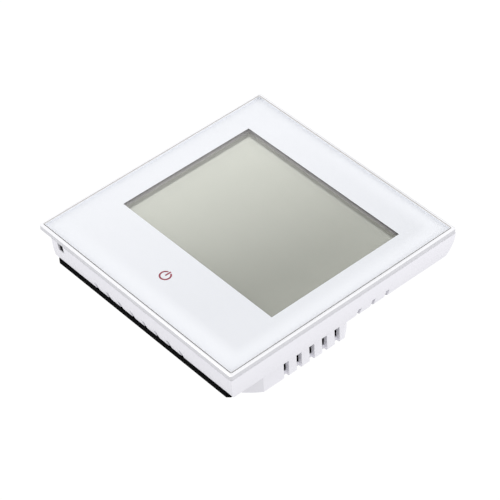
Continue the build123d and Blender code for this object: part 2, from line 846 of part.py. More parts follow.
with BuildPart() as zebra_strip:
    with BuildSketch(level(board_front)):
        with Locations((0, lcd_bottom + lcd_ledge / 2)):
            Rectangle(window_width, zebra_width)
    extrude(amount=lcd_mid - board_front)
finish(zebra_strip, "zebra_strip")

with BuildPart() as backlight:
    with BuildSketch(level(guide_back)):
        with Locations((0, guide_up)):
            Rectangle(guide_width, guide_height)
    extrude(amount=guide_thickness)
    chamfer(backlight.faces().sort_by(Axis.Y)[-1].edges(), film_thickness)
finish(backlight, "backlight")

with BuildPart() as reflector_film:
    with BuildSketch(level(board_front)):
        with Locations((0, guide_up)):
            Rectangle(guide_width, guide_height)
    extrude(amount=film_thickness)
finish(reflector_film, "reflector_film")

with BuildPart() as backlight_leds:
    with BuildSketch(level(board_front)):
        with Locations((-(guide_width + led_thickness + pocket_gap) / 2, guide_up)):
            with GridLocations(0, led_pitch, 1, led_count):
                Rectangle(led_thickness, led_width)
    extrude(amount=guide_thickness)
finish(backlight_leds, "backlight_leds")

# Display board
with BuildPart() as display_board:
    with BuildSketch(level(board_back)):
        add(relieved_square(board_half, carrier_inset + carrier_wall + board_gap))
        with Locations(board_places):
            Circle(display_hole_radius, mode=Mode.SUBTRACT)
        with Locations(top_places):
            Rectangle(
                2 * display_hole_radius, board_half, align=(Align.CENTER, Align.MIN), mode=Mode.SUBTRACT
            )
    extrude(amount=board_thickness)
finish(display_board, "display_board")

with BuildPart() as display_screws:
    with BuildSketch(level(board_back)):
        with Locations(board_places):
            Circle(display_screw_radius)
    extrude(amount=display_screw_length)
    with BuildSketch(level(board_back)):
        with Locations(board_places):
            Circle(display_head_radius)
    extrude(amount=-screw_head_height)
finish(display_screws, "display_screws")

# Touch pad: conductive foam between the board and the back of the glass, behind the key symbol
with BuildPart() as touch_pad:
    with BuildSketch(level(board_front)):
        with Locations((0, -key_down)):
            Rectangle(touch_pad_size, touch_pad_size)
    extrude(amount=mask_back - board_front)
finish(touch_pad, "touch_pad")

# Controller chip with a row of leads on each side
with BuildPart() as controller_chip:
    with BuildSketch(level(board_front)):
        with Locations(chip_place):
            Rectangle(chip_size, chip_size)
    extrude(amount=chip_height)
    chamfer(controller_chip.faces().sort_by(Axis.Y)[0].edges(), chip_height / 4)
    with BuildSketch(level(board_front)):
        with Locations(chip_place):
            with GridLocations(chip_lead_pitch, 0, chip_lead_count, 1):
                Rectangle(chip_lead_pitch / 2, chip_size + 2 * chip_lead_pitch)
            with GridLocations(0, chip_lead_pitch, 1, chip_lead_count):
                Rectangle(chip_size + 2 * chip_lead_pitch, chip_lead_pitch / 2)
    extrude(amount=chip_height / 4)
finish(controller_chip, "controller_chip")

# Room sensor: dipped bead on two leads, near the lower air notches
with BuildPart() as room_sensor:
    with BuildSketch(level(board_front)):
        with Locations(sensor_place):
            with GridLocations(lead_pitch, 0, 2, 1):
                Rectangle(lead_size, lead_size)
    extrude(amount=sensor_stand)
    with BuildSketch(level(board_front + sensor_stand)):
        with Locations(sensor_place):
            Circle(sensor_radius)
    extrude(amount=2 * sensor_radius)
    chamfer(room_sensor.faces().sort_by(Axis.Y)[0].edges(), sensor_radius / 2)
finish(room_sensor, "room_sensor")
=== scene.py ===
"""Looks for a flush wall thermostat: glass front, plated trim, moulded housing and a box in the wall."""
import math

import bmesh
import bpy
from mathutils import Matrix, Vector


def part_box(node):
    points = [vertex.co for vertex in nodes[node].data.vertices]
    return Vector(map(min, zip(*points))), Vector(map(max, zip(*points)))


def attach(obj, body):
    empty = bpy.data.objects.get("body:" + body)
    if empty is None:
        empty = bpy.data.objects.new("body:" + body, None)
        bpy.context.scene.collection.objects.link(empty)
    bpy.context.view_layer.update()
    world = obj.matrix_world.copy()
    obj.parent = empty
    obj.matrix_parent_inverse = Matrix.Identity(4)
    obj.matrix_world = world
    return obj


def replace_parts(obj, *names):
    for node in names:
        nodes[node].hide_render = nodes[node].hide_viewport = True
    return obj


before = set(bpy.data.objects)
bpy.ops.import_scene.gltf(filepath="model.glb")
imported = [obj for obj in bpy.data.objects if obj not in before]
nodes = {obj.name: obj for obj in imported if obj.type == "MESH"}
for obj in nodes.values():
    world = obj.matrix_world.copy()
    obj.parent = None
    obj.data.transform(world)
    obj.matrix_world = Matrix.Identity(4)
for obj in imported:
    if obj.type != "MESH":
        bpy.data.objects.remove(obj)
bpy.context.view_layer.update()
MM = 0.001

# Sizes of the patterns in the finishes, in millimetres, and how far the gloss of a moulding wanders
DRIFT, CLOUD, HAZE = 18, 30, 9
FOAM_CELL, CELL_DEPTH, INK_TOOTH = 0.25, 0.02, 0.3
COPPER_RUN, COPPER_THICK = 0.14, 0.035
GLOSS_SPREAD = 0.05

# Heights in front of the wall between which the gasket goes from dark to pale, a painted shade under the
# print's edge
SHADE_TOP, SHADE_FOOT = 12.65, 11.2


def linear(colour):
    """Turn an sRGB hex colour into the linear values that Blender works in."""
    values = [int(colour[i:i + 2], 16) / 255 for i in (0, 2, 4)]
    return [v / 12.92 if v <= 0.04045 else ((v + 0.055) / 1.055) ** 2.4 for v in values] + [1.0]


def add(tree, kind, inputs=None, **settings):
    """Add a node, set its properties, and set or link its inputs."""
    made = tree.nodes.new(kind)
    for name, value in settings.items():
        setattr(made, name, value)
    for name, value in (inputs or {}).items():
        if isinstance(value, bpy.types.NodeSocket):
            tree.links.new(value, made.inputs[name])
        else:
            made.inputs[name].default_value = value
    return made


def per_mm(size):
    """Texture scale that gives one pattern cell the stated size in millimetres."""
    return 1 / (size * MM)


def start_material(name):
    """New empty material, with its tree, its output and the place on the object that patterns follow."""
    made = bpy.data.materials.new(name)
    made.use_nodes = True
    tree = made.node_tree
    tree.nodes.clear()
    output = add(tree, "ShaderNodeOutputMaterial")
    place = add(tree, "ShaderNodeTexCoord").outputs["Object"]
    return made, tree, output, place


def moulded(name, colour, shade, roughness, grain, depth, gloss=0.5):
    """Moulded or dipped plastic: even colour with slow drift, and a spark grain coarse enough to show."""
    made, tree, output, place = start_material(name)
    drift = add(tree, "ShaderNodeTexNoise", {"Vector": place, "Scale": per_mm(DRIFT), "Detail": 3.0})
    tint = add(
        tree, "ShaderNodeMix", {"Factor": drift.outputs["Fac"], 6: linear(colour), 7: linear(shade)},
        data_type="RGBA",
    )
    spark = add(tree, "ShaderNodeTexNoise", {"Vector": place, "Scale": per_mm(grain), "Detail": 4.0})
    rough = add(
        tree, "ShaderNodeMapRange",
        {
            "Value": spark.outputs["Fac"], "To Min": roughness - GLOSS_SPREAD,
            "To Max": roughness + GLOSS_SPREAD,
        },
    )
    bump = add(
        tree, "ShaderNodeBump",
        {"Height": spark.outputs["Fac"], "Strength": 1.0, "Distance": depth * MM},
    )
    shader = add(
        tree, "ShaderNodeBsdfPrincipled",
        {
            "Base Color": tint.outputs[2], "Roughness": rough.outputs["Result"], "IOR": 1.53,
            "Specular IOR Level": gloss, "Normal": bump.outputs["Normal"],
        },
    )
    tree.links.new(shader.outputs["BSDF"], output.inputs["Surface"])
    return made


def bright_metal(name, colour, roughness, scratch, wear=0.35):
    """Plated or drawn metal: mirror gloss softened by fine handling marks."""
    made, tree, output, place = start_material(name)
    marks = add(tree, "ShaderNodeTexNoise", {"Vector": place, "Scale": per_mm(scratch), "Detail": 5.0})
    rough = add(
        tree, "ShaderNodeMapRange",
        {"Value": marks.outputs["Fac"], "To Min": roughness * (1 - wear), "To Max": roughness * (1 + wear)},
    )
    shader = add(
        tree, "ShaderNodeBsdfPrincipled",
        {"Base Color": linear(colour), "Metallic": 1.0, "Roughness": rough.outputs["Result"]},
    )
    tree.links.new(shader.outputs["BSDF"], output.inputs["Surface"])
    return made


def seen_straight(tree):
    """One where a ray comes from the camera, a mirror or glass, and nought where it lights a surface."""
    rays = add(tree, "ShaderNodeLightPath")
    first = add(
        tree, "ShaderNodeMath",
        {0: rays.outputs["Is Camera Ray"], 1: rays.outputs["Is Glossy Ray"]}, operation="MAXIMUM",
    )
    both = add(
        tree, "ShaderNodeMath",
        {0: first.outputs["Value"], 1: rays.outputs["Is Transmission Ray"]}, operation="MAXIMUM",
    )
    return both.outputs["Value"]


def float_glass():
    """Clear float glass with a polished face: a faint mirror over what lies behind it."""
    made, tree, output, _ = start_material("float_glass")
    glass = add(
        tree, "ShaderNodeBsdfPrincipled",
        {"Base Color": linear("FFFFFF"), "Roughness": 0.0, "IOR": 1.5, "Transmission Weight": 1.0},
    )
    clear = add(tree, "ShaderNodeBsdfTransparent", {"Color": linear("FEFEFE")})
    mix = add(
        tree, "ShaderNodeMixShader",
        {0: seen_straight(tree), 1: clear.outputs["BSDF"], 2: glass.outputs["BSDF"]},
    )
    tree.links.new(mix.outputs["Shader"], output.inputs["Surface"])
    return made


def liquid_crystal():
    """Twisted nematic cell over a half mirror: grey green, and light and dark with the room."""
    made, tree, output, place = start_material("liquid_crystal_cell")
    cloud = add(tree, "ShaderNodeTexNoise", {"Vector": place, "Scale": per_mm(CLOUD), "Detail": 2.0})
    tint = add(
        tree, "ShaderNodeMix",
        {"Factor": cloud.outputs["Fac"], 6: linear("D8DACF"), 7: linear("DEE0D6")}, data_type="RGBA",
    )
    haze = add(tree, "ShaderNodeTexNoise", {"Vector": place, "Scale": per_mm(HAZE), "Detail": 2.0})
    rough = add(
        tree, "ShaderNodeMapRange", {"Value": haze.outputs["Fac"], "To Min": 0.19, "To Max": 0.22}
    )
    shader = add(
        tree, "ShaderNodeBsdfPrincipled",
        {"Base Color": tint.outputs[2], "Metallic": 0.65, "Roughness": rough.outputs["Result"]},
    )
    tree.links.new(shader.outputs["BSDF"], output.inputs["Surface"])
    return made


def foam_gasket():
    """Grey open foam with cells you can feel, darkened by painted shade near the adhesive under the print.
    """
    made, tree, output, place = start_material("foam_gasket_grey")
    cells = add(tree, "ShaderNodeTexNoise", {"Vector": place, "Scale": per_mm(FOAM_CELL), "Detail": 3.0})
    along = add(tree, "ShaderNodeSeparateXYZ", {"Vector": place})
    # Painted shade: dark at the print's rear, pale towards the display
    painted_shade = add(
        tree, "ShaderNodeMapRange",
        {"Value": along.outputs["Y"], "From Min": -SHADE_TOP * MM, "From Max": -SHADE_FOOT * MM},
    )
    tint = add(
        tree, "ShaderNodeMix",
        {"Factor": painted_shade.outputs["Result"], 6: linear("6A6567"), 7: linear("B4B2B2")}, data_type="RGBA",
    )
    bump = add(
        tree, "ShaderNodeBump",
        {"Height": cells.outputs["Fac"], "Strength": 1.0, "Distance": CELL_DEPTH * MM},
    )
    shader = add(
        tree, "ShaderNodeBsdfPrincipled",
        {
            "Base Color": tint.outputs[2], "Roughness": 0.8, "Specular IOR Level": 0.1,
            "Normal": bump.outputs["Normal"],
        },
    )
    tree.links.new(shader.outputs["BSDF"], output.inputs["Surface"])
    return made


def screen_ink(name, colour):
    """Screen printed ink: dense and even, with the faint tooth of the mesh, drawn coarse enough to show."""
    made, tree, output, place = start_material(name)
    tooth = add(tree, "ShaderNodeTexNoise", {"Vector": place, "Scale": per_mm(INK_TOOTH), "Detail": 2.0})
    rough = add(
        tree, "ShaderNodeMapRange", {"Value": tooth.outputs["Fac"], "To Min": 0.5, "To Max": 0.6}
    )
    shader = add(
        tree, "ShaderNodeBsdfPrincipled",
        {"Base Color": linear(colour), "Roughness": rough.outputs["Result"], "IOR": 1.45},
    )
    tree.links.new(shader.outputs["BSDF"], output.inputs["Surface"])
    return made


def epoxy_board():
    """Epoxy glass circuit board: green solder resist with the copper runs showing paler through it."""
    made, tree, output, place = start_material("epoxy_glass_board")
    ways = []
    # Turn in degrees, then the spacing and the length of the runs in millimetres
    for turn, row, length in ((0, 1.7, 19.0), (90, 6.3, 13.0)):
        turned = add(
            tree, "ShaderNodeMapping",
            {"Vector": place, "Rotation": (math.radians(90), 0, math.radians(turn))},
        )
        ways.append(add(
            tree, "ShaderNodeTexBrick",
            {
                "Vector": turned.outputs["Vector"], "Scale": per_mm(1), "Mortar Size": COPPER_RUN,
                "Brick Width": length, "Row Height": row,
            },
        ).outputs["Fac"])
    runs = add(tree, "ShaderNodeMath", {0: ways[0], 1: ways[1]}, operation="MAXIMUM").outputs["Value"]
    tint = add(
        tree, "ShaderNodeMix", {"Factor": runs, 6: linear("17512F"), 7: linear("226A40")},
        data_type="RGBA",
    )
    bump = add(
        tree, "ShaderNodeBump",
        {"Height": runs, "Strength": 1.0, "Distance": COPPER_THICK * MM},
    )
    shader = add(
        tree, "ShaderNodeBsdfPrincipled",
        {"Base Color": tint.outputs[2], "Roughness": 0.32, "Normal": bump.outputs["Normal"]},
    )
    tree.links.new(shader.outputs["BSDF"], output.inputs["Surface"])
    return made


# Finishes, each named for the real stuff and how it was made
# A moulded one gives colour, shade, roughness, then grain and its depth in millimetres, and a gloss at times

# Moulded ABS: satin white that blurs the lights, and a black so matt that an edge of it is one dark line
white_abs = moulded("moulded_abs_white", "F5F4FA", "F1F0F7", 0.42, 0.35, 0.004)
black_abs = moulded("moulded_abs_black", "060607", "0B0B0C", 0.6, 0.35, 0.008, 0.01)
# Extruded polypropylene: flat black with hardly any sheen, used as painted shade inside the box, in the pry
# slot and under the print's edge
black_sheet_painted_shade = moulded("polypropylene_black_painted_shade", "060606", "0A0A0A", 0.6, 0.5, 0.004, 0.01)
# Plated plastic gives a clean pale mirror, zinc and brass a duller one that handling has marked
plated_trim = bright_metal("plated_abs_trim", "F8F8FB", 0.14, 6.0, 0.06)
zinc_steel = bright_metal("zinc_plated_steel", "B9BCC0", 0.28, 0.5)
stamped_brass = bright_metal("stamped_brass", "C9A45C", 0.25, 0.5)
# Polished glass: clear, with the room faintly in it
cover_glass = float_glass()
# Silicone run in by hand: a soft satin line, one copy dark with painted shade and one pale with painted
# light, and a white one that hides the arris
silicone_painted_shade = moulded("silicone_bead_painted_shade", "1E1C1A", "1A1816", 0.5, 0.6, 0.002, 0.2)
silicone_painted_lit = moulded("silicone_bead_painted_lit", "CECAC6", "C8C4C0", 0.5, 0.6, 0.002, 0.2)
white_silicone = moulded("silicone_filler_white", "F4F4F6", "F0F0F3", 0.4, 0.4, 0.002)
# Cut foam: dull grey, with painted shade that darkens it under the print
gasket_foam = foam_gasket()
# Printed ink: a flat even white behind the glass, and a red that stands out on it
white_ink = screen_ink("screen_ink_white", "F5F7FC")
red_ink = screen_ink("screen_ink_red", "9A2740")
# Display cell: grey green and half a mirror, so it goes light and dark with the room
lcd_cell = liquid_crystal()
# Laminated board: glossy green with paler runs
circuit_board = epoxy_board()
# Moulded nylon and polyester cases: a satin grey, and a blue with more gloss
grey_polyamide = moulded("moulded_polyamide_grey", "3A3D40", "33363A", 0.45, 0.3, 0.006)
blue_pbt = moulded("moulded_pbt_blue", "1F5FA6", "1B5798", 0.3, 0.4, 0.004)
# Sintered ferrite is dry, dark and grainy, and the tape wound on it bright yellow and glossy
ferrite = moulded("sintered_ferrite", "2A2A2C", "343437", 0.6, 0.2, 0.01)
yellow_tape = moulded("polyester_tape_yellow", "E0B93A", "D6AE31", 0.28, 1.5, 0.006)
# Shrunk sleeve, moulded case and dipped coat: near black and shiny, amber and satin, blue and lumpy
sleeve_pvc = moulded("shrink_sleeve_pvc", "1D2030", "232741", 0.3, 1.0, 0.004)
amber_case = moulded("moulded_case_amber", "D69A2B", "CC9026", 0.35, 0.4, 0.006)
blue_dip = moulded("dipped_epoxy_blue", "284A94", "22417F", 0.3, 2.0, 0.03)
# Glazed ceramic: cream and shiny
fuse_ceramic = moulded("glazed_ceramic", "E3DFD6", "DAD5CA", 0.25, 0.8, 0.004)
# Moulded conductive rubber: dark grey and dull
silicone = moulded("conductive_silicone", "4A4A50", "3F3F45", 0.65, 0.2, 0.01)
# Parts that pass light on: a glossy pale guide, a white film and creamy lamp cases
clear_acrylic = moulded("light_guide_acrylic", "EDF3F4", "E6EEF0", 0.15, 1.0, 0.002)
reflector = moulded("reflector_film_white", "F8F8F8", "F4F4F4", 0.35, 0.5, 0.002)
led_case = moulded("led_case_white", "F2ECC8", "F6F0D6", 0.4, 0.3, 0.003)
# Dipped black epoxy: shiny and a little uneven
black_dip = moulded("dipped_epoxy_black", "17171A", "202024", 0.3, 1.0, 0.02)

# The insulating sheet's black is painted shade in the box behind the vents
finish_of = {
    "wall_plate": black_abs, "housing": white_abs, "power_box": white_abs, "panel_carrier": white_abs,
    "snap_hooks": white_abs, "front_frame": plated_trim, "front_glass": cover_glass,
    "glass_mask": white_ink, "lcd_panel": lcd_cell, "insulating_sheet": black_sheet_painted_shade,
    "power_board": circuit_board, "display_board": circuit_board, "terminal_block": grey_polyamide,
    "terminal_bars": stamped_brass, "header_pins": stamped_brass, "header_base": black_abs,
    "header_socket": black_abs, "controller_chip": black_abs, "relay": blue_pbt,
    "transformer_core": ferrite, "transformer_coil": yellow_tape, "smoothing_capacitor": sleeve_pvc,
    "film_capacitor": amber_case, "varistor": blue_dip, "fuse": fuse_ceramic, "zebra_strip": silicone,
    "touch_pad": silicone, "backlight": clear_acrylic, "reflector_film": reflector,
    "backlight_leds": led_case, "room_sensor": black_dip,
}
# Screws and wire clamps aren't in the table, and are zinc plated
for name, piece in nodes.items():
    stuff = finish_of.get(name, zinc_steel)
    piece.data.materials.clear()
    piece.data.materials.append(stuff)


def new_piece(name, build, body, stuff):
    """Put a finished mesh in the scene, riding on its body."""
    bmesh.ops.recalc_face_normals(build, faces=build.faces)
    mesh = bpy.data.meshes.new(name)
    build.to_mesh(mesh)
    build.free()
    made = bpy.data.objects.new(name, mesh)
    bpy.context.collection.objects.link(made)
    made.data.materials.append(stuff)
    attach(made, body)
    return made


def square(half):
    """Low and high corners of a square about the middle of the face."""
    return (-half, -half, half, half)


def grown(rectangle, amount):
    """Rectangle of X, Z corners made larger all round."""
    x_low, z_low, x_high, z_high = rectangle
    return (x_low - amount, z_low - amount, x_high + amount, z_high + amount)


def corner_rows(build, loops):
    """Four corners for each loop, which is a rectangle of low and high X, Z and a height from the wall."""
    rows = []
    for (x_low, z_low, x_high, z_high), height in loops:
        corners = ((x_low, z_low), (x_high, z_low), (x_high, z_high), (x_low, z_high))
        rows.append([build.verts.new((x * MM, -height * MM, z * MM)) for x, z in corners])
    return rows


def mitred_ring(build, loops, sides=(0, 1, 2, 3)):
    """Ring with mitred corners, or some sides of one that follow each other: lower, right, upper, left."""
    rows = corner_rows(build, loops)
    for i, row in enumerate(rows):
        after = rows[(i + 1) % len(rows)]
        for j in sides:
            k = (j + 1) % 4
            build.faces.new((row[j], row[k], after[k], after[j]))
    if len(sides) < 4:
        for j in (sides[0], (sides[-1] + 1) % 4):
            build.faces.new([row[j] for row in rows])


def eased_block(build, rectangle, low, high, ease):
    """Plate or block with its far edges eased, from one height to another on either side of it."""
    step = math.copysign(ease, high - low)
    rows = corner_rows(build, [
        (rectangle, low), (rectangle, high - step), (grown(rectangle, -ease), high),
    ])
    for row, after in zip(rows, rows[1:]):
        for j in range(4):
            k = (j + 1) % 4
            build.faces.new((row[j], row[k], after[k], after[j]))
    build.faces.new(rows[0])
    build.faces.new(rows[-1])


def flat_strip(build, outline, rear, thickness):
    """Extrude an outline of X, Z points in millimetres from a height in front of the wall."""
    back = [build.verts.new((x * MM, -rear * MM, z * MM)) for x, z in outline]
    fore = [build.verts.new((x * MM, -(rear + thickness) * MM, z * MM)) for x, z in outline]
    build.faces.new(back)
    build.faces.new(list(reversed(fore)))
    for i in range(len(outline)):
        j = (i + 1) % len(outline)
        build.faces.new((back[j], back[i], fore[i], fore[j]))


# Sizes of the face in millimetres from the frame, then the margins of the window and the arris of the glass
low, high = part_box("front_frame")
FACE_HALF = high[0] / MM
low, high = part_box("front_glass")
GLASS_HALF, GLASS_FRONT = high[0] / MM, -low[1] / MM
low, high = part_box("glass_mask")
PRINT_REAR, PRINT_FRONT = -high[1] / MM, -low[1] / MM
WINDOW_SIDE, WINDOW_ABOVE, WINDOW_BELOW = 10.4, 13.8, 24.8
GLASS_ARRIS = 0.2

# White print behind the glass by a hair, with the window left clear, reaching under the bead in the groove
HAIR = 0.03
window = (
    WINDOW_SIDE - FACE_HALF, WINDOW_BELOW - FACE_HALF, FACE_HALF - WINDOW_SIDE, FACE_HALF - WINDOW_ABOVE
)
INK_FRONT = PRINT_FRONT - HAIR
GROOVE, COAT_GAP = 0.25, 0.006
ink_edge = square(GLASS_HALF + GROOVE - 2 * COAT_GAP)
layer = bmesh.new()
mitred_ring(layer, [
    (window, PRINT_REAR), (window, INK_FRONT), (ink_edge, INK_FRONT), (ink_edge, PRINT_REAR),
])
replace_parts(new_piece("print_layer", layer, "panel", white_ink), "glass_mask")

# Silicone bead that beds the glass in the trim: a thin line, dark with painted shade along the lower and
# right edges, pale with painted light along the upper and left
BEAD_DROP, BEAD_FOOT = 0.03, INK_FRONT + COAT_GAP
COAT, COAT_DEPTH, BEAD_LEAN = 0.03, 0.3, 0.05
bead_in = square(GLASS_HALF + COAT + COAT_GAP)
bead_out = square(GLASS_HALF + GROOVE - COAT_GAP)
bead_rim = grown(bead_in, -BEAD_LEAN)
for name, sides, stuff, slot in (
    ("glass_bead_near", (0, 1), silicone_painted_shade, "black_plastic"),
    ("glass_bead_far", (2, 3), silicone_painted_lit, "white_print"),
):
    bead = bmesh.new()
    mitred_ring(bead, [
        (bead_in, BEAD_FOOT), (bead_in, GLASS_FRONT - COAT_DEPTH), (bead_rim, GLASS_FRONT - BEAD_DROP),
        (bead_out, GLASS_FRONT - BEAD_DROP), (bead_out, BEAD_FOOT),
    ], sides)
    new_piece(name, bead, "panel", stuff)

# White filler that levels the ground arris of the glass up to the bead
ARRIS_BARE = 0.01
arris_top = square(GLASS_HALF - GLASS_ARRIS + ARRIS_BARE + COAT_GAP)
arris_foot = square(GLASS_HALF + COAT_GAP)
filler_out = square(GLASS_HALF + COAT)
filler = bmesh.new()
mitred_ring(filler, [
    (arris_top, GLASS_FRONT - ARRIS_BARE + COAT_GAP), (arris_foot, GLASS_FRONT - GLASS_ARRIS + COAT_GAP),
    (arris_foot, GLASS_FRONT - COAT_DEPTH), (filler_out, GLASS_FRONT - COAT_DEPTH),
    (grown(filler_out, -BEAD_LEAN), GLASS_FRONT - BEAD_DROP),
])
new_piece("glass_edge_filler", filler, "panel", white_silicone)

# White paint wetted onto the ground side of the glass
WETTED = 0.004
paint_in, paint_out = square(GLASS_HALF - WETTED), square(GLASS_HALF + COAT)
paint = bmesh.new()
mitred_ring(paint, [
    (paint_in, BEAD_FOOT), (paint_in, GLASS_FRONT - COAT_DEPTH - COAT_GAP),
    (paint_out, GLASS_FRONT - COAT_DEPTH - COAT_GAP), (paint_out, BEAD_FOOT),
])
new_piece("glass_edge_paint", paint, "panel", white_ink)

# Front polariser plate of the display, which stands up inside the gasket
low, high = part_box("lcd_panel")
DISPLAY_FRONT = -low[1] / MM
PLATE_FRONT, PLATE_EDGE, PLATE_EASE = 11.2, 0.03, 0.02
cover = bmesh.new()
eased_block(cover, grown(window, PLATE_EDGE), DISPLAY_FRONT + HAIR, PLATE_FRONT, PLATE_EASE)
new_piece("display_polariser", cover, "panel", lcd_cell)

# Grey foam gasket that lines the window between the print and the display, and the black adhesive on it,
# whose black is painted shade at the print's edge
GASKET_IN, GASKET_OUT, ADHESIVE = 0.06, 0.27, 0.25
GASKET_TOP = PRINT_REAR - ADHESIVE
for name, bottom, top, stuff in (
    ("display_gasket", DISPLAY_FRONT + HAIR, GASKET_TOP, gasket_foam),
    ("gasket_adhesive", GASKET_TOP, PRINT_REAR - COAT_GAP, black_sheet_painted_shade),
):
    gasket = bmesh.new()
    inside, outside = grown(window, GASKET_IN), grown(window, GASKET_OUT)
    mitred_ring(gasket, [(inside, bottom), (inside, top), (outside, top), (outside, bottom)])
    new_piece(name, gasket, "panel", stuff)

# Black pad set back in the pry slot of the housing, its black a painted shade inside the slot
PAD_X, PAD_FRONT, PAD_REAR, PAD_LOW, PAD_TALL = -34.9, -44.3, -43.15, 9.06, 2.95
PAD_HALF, PAD_EASE = 1.24, 0.2
pad = bmesh.new()
flat_strip(pad, [
    (PAD_X - PAD_HALF, PAD_REAR), (PAD_X - PAD_HALF, PAD_FRONT + PAD_EASE),
    (PAD_X - PAD_HALF + PAD_EASE, PAD_FRONT), (PAD_X + PAD_HALF - PAD_EASE, PAD_FRONT),
    (PAD_X + PAD_HALF, PAD_FRONT + PAD_EASE), (PAD_X + PAD_HALF, PAD_REAR),
], PAD_LOW, PAD_TALL)
new_piece("pry_slot_shade_pad", pad, "base", black_sheet_painted_shade)

# Facets of a screw, and the width of its cross's arms and the size of the cross's floor as shares
ROUND, ARM_WIDTH, FLOOR_SHARE = 24, 0.26, 0.55


def cross_screw(build, middle, face, inward, profile, arm, depth):
    """Lathed screw at a point of X, Z, running inward from its face, with a tapered cross in that."""
    def spot(x, z, down):
        return build.verts.new(((middle[0] + x) * MM, -(face + inward * down) * MM, (middle[1] + z) * MM))

    turns = [2 * math.pi * i / ROUND for i in range(ROUND)]
    rings = [
        [spot(radius * math.cos(a), radius * math.sin(a), down) for a in turns]
        for radius, down in profile
    ]
    for ring, after in zip(rings, rings[1:]):
        for i in range(ROUND):
            j = (i + 1) % ROUND
            build.faces.new((ring[i], ring[j], after[j], after[i]))
    build.faces.new(rings[-1])
    half = arm * ARM_WIDTH
    cross = [(arm, -half), (arm, half), (half, half)]
    for _ in range(3):
        cross += [(-z, x) for x, z in cross[-3:]]
    mouth = [spot(x, z, profile[0][1]) for x, z in cross]
    floor = [
        spot(x * FLOOR_SHARE, z * FLOOR_SHARE, profile[0][1] + depth) for x, z in cross
    ]
    rim = []
    for loop in (rings[0], mouth):
        for i, vert in enumerate(loop):
            ends = (vert, loop[(i + 1) % len(loop)])
            rim.append(build.edges.get(ends) or build.edges.new(ends))
    for i in range(len(cross)):
        j = (i + 1) % len(cross)
        build.faces.new((mouth[i], mouth[j], floor[j], floor[i]))
    build.faces.new(floor)
    bmesh.ops.triangle_fill(build, edges=rim, use_beauty=True)


# Cross recess screws in place of the plain ones. A profile is radius and depth behind the face
SUNK = [(2.12, 0.02), (2.15, 0.1), (1.08, 1.12), (1.08, 3.5), (0.5, 4.1)]
LONG = SUNK[:3] + [(1.08, 9.6), (0.5, 10.4)]
PAN = [
    (1.0, 0.03), (1.35, 0.1), (1.6, 0.32), (1.68, 0.6), (1.68, 0.98),
    (0.87, 0.98), (0.87, 5.3), (0.4, 5.9),
]
SUNK_ARM, SUNK_DEPTH, PAN_ARM, PAN_DEPTH = 1.2, 0.9, 0.85, 0.6
BOX_SCREW, PLATE_SCREW = 18.22, 36.5
plate_places = [(0, -PLATE_SCREW), (0, PLATE_SCREW)]
box_places = [(-BOX_SCREW, -BOX_SCREW), (BOX_SCREW, BOX_SCREW)]
board_places = [(-14, 37.6), (14, 37.6), (-30, -34), (30, -34)]
low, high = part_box("display_screws")
BOARD_HEAD = -high[1] / MM
low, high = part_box("box_screws")
BOX_FACE = -low[1] / MM
for name, body, face, inward, profile, arm, depth, places in (
    ("plate_screws", "base", 0.0, 1, SUNK, SUNK_ARM, SUNK_DEPTH, plate_places),
    ("box_screws", "base", BOX_FACE, -1, LONG, SUNK_ARM, SUNK_DEPTH, box_places),
    ("display_screws", "panel", BOARD_HEAD, 1, PAN, PAN_ARM, PAN_DEPTH, board_places),
):
    screws = bmesh.new()
    for middle in places:
        cross_screw(screws, middle, face, inward, profile, arm, depth)
    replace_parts(new_piece("cross_" + name, screws, body, zinc_steel), name)

# Small parts soldered to the rear of the display board
low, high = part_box("display_board")
BOARD_REAR = -high[1] / MM
CHIP_LONG, CHIP_WIDE, CHIP_TALL, CHIP_EASE, CHIP_PITCH, CHIPS = 1.6, 0.8, 0.45, 0.05, 3.6, 4
CHIP_END, END_LIP, END_EASE = 0.3, 0.03, 0.06
DRIVER_X, DRIVER_Z, DRIVER_HALF, DRIVER_TALL, DRIVER_LIFT, DRIVER_EASE = 19.0, -14.0, 2.0, 1.0, 0.1, 0.25
LEGS, LEG_PITCH, LEG, LEG_LONG, LEG_TALL, LEG_EASE = 4, 1.27, 0.2, 1.0, 0.4, 0.08
chip_rows = [(-20.0, -8.0), (-20.0, -12.0), (-20.0, 6.0), (10.0, 4.0), (10.0, -4.0)]
bodies, ends = bmesh.new(), bmesh.new()
for row_x, row_z in chip_rows:
    for i in range(CHIPS):
        x = row_x + CHIP_PITCH * i
        half_x, half_z = CHIP_LONG / 2, CHIP_WIDE / 2
        middle = (x - half_x + CHIP_END, row_z - half_z, x + half_x - CHIP_END, row_z + half_z)
        eased_block(bodies, middle, BOARD_REAR, BOARD_REAR - CHIP_TALL, CHIP_EASE)
        for side in (-1, 1):
            inner, outer = sorted((x + side * (half_x - CHIP_END), x + side * half_x))
            end = (inner, row_z - half_z - END_LIP, outer, row_z + half_z + END_LIP)
            eased_block(ends, end, BOARD_REAR, BOARD_REAR - CHIP_TALL - END_LIP, END_EASE)
driver = grown((DRIVER_X, DRIVER_Z, DRIVER_X, DRIVER_Z), DRIVER_HALF)
eased_block(
    bodies, driver, BOARD_REAR - DRIVER_LIFT, BOARD_REAR - DRIVER_LIFT - DRIVER_TALL, DRIVER_EASE
)
for side in (-1, 1):
    for i in range(LEGS):
        z = DRIVER_Z + (i - (LEGS - 1) / 2) * LEG_PITCH
        inner, outer = sorted(DRIVER_X + side * reach for reach in (DRIVER_HALF, DRIVER_HALF + LEG_LONG))
        leg = (inner, z - LEG, outer, z + LEG)
        eased_block(ends, leg, BOARD_REAR, BOARD_REAR - LEG_TALL, LEG_EASE)
new_piece("chip_bodies", bodies, "panel", black_dip)
new_piece("chip_ends", ends, "panel", zinc_steel)

